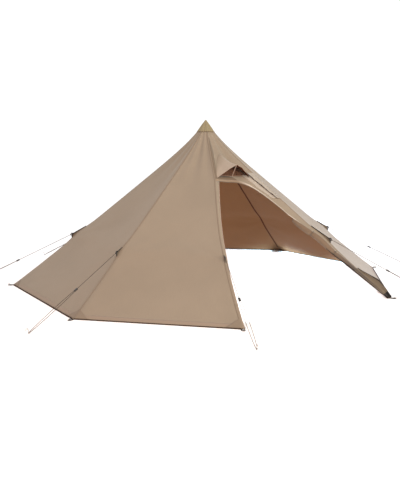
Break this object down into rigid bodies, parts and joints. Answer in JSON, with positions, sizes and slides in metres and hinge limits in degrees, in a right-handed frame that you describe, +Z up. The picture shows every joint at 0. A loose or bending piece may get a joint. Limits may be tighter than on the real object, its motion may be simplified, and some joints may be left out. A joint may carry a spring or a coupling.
{
  "type": "tipi tent",
  "caption": "Eight-sided pyramid tipi tent of tan canvas on one centre pole, with an open arched doorway, rolled door, hooded vent, stove jack and guy lines.",
  "frame": {"origin": "on the ground under the foot of the centre pole", "axes": "+Z up along the pole, -Y out through the doorway, +X to the right seen from the doorway"},
  "size_m": [6.1318, 6.1118, 2.2],
  "materials": {
    "cap_canvas": "matte woven reinforcement",
    "black_webbing": "matte woven webbing",
    "tan_canvas": "matte woven polycotton",
    "zip_tape": "matte tape with moulded teeth",
    "guy_cord": "braided cord",
    "peg_steel": "bent rod, dull",
    "black_plastic": "moulded, matte",
    "pole_aluminium": "drawn tube, satin",
    "heat_cloth": "coarse coated glass cloth",
    "vent_netting": "fine dark netting"
  },
  "bodies": {
    "root": {"apex_cap": "cap_canvas", "corner_loop_1": "black_webbing", "corner_loop_2": "black_webbing", "corner_loop_3": "black_webbing", "corner_loop_4": "black_webbing", "corner_loop_5": "black_webbing", "corner_loop_6": "black_webbing", "corner_loop_7": "black_webbing", "corner_loop_8": "black_webbing", "door_post_flap": "tan_canvas", "door_roll": "tan_canvas", "door_tie_lower": "black_webbing", "door_tie_middle": "black_webbing", "door_tie_upper": "black_webbing", "door_wall": "tan_canvas", "door_zip_arch": "zip_tape", "door_zip_post": "zip_tape", "front_left_wall": "tan_canvas", "front_right_wall": "tan_canvas", "guy_fin_1": "black_webbing", "guy_fin_2": "black_webbing", "guy_fin_3": "black_webbing", "guy_fin_4": "black_webbing", "guy_fin_5": "black_webbing", "guy_fin_6": "black_webbing", "guy_fin_7": "black_webbing", "guy_fin_8": "black_webbing", "guy_line_1": "guy_cord", "guy_line_2": "guy_cord", "guy_line_3": "guy_cord", "guy_line_4": "guy_cord", "guy_line_5": "guy_cord", "guy_line_6": "guy_cord", "guy_line_7": "guy_cord", "guy_line_8": "guy_cord", "guy_peg_1": "peg_steel", "guy_peg_2": "peg_steel", "guy_peg_3": "peg_steel", "guy_peg_4": "peg_steel", "guy_peg_5": "peg_steel", "guy_peg_6": "peg_steel", "guy_peg_7": "peg_steel", "guy_peg_8": "peg_steel", "pole_foot": "black_plastic", "pole_lower": "pole_aluminium", "pole_tip": "black_plastic", "pole_upper": "pole_aluminium", "rear_left_wall": "tan_canvas", "rear_right_wall": "tan_canvas", "rear_wall": "tan_canvas", "side_left_wall": "tan_canvas", "side_right_wall": "tan_canvas", "stove_jack": "heat_cloth", "stove_jack_cover": "tan_canvas", "vent_hood": "tan_canvas", "vent_mesh": "vent_netting", "vent_stay": "black_plastic"}
  },
  "joints": []
}
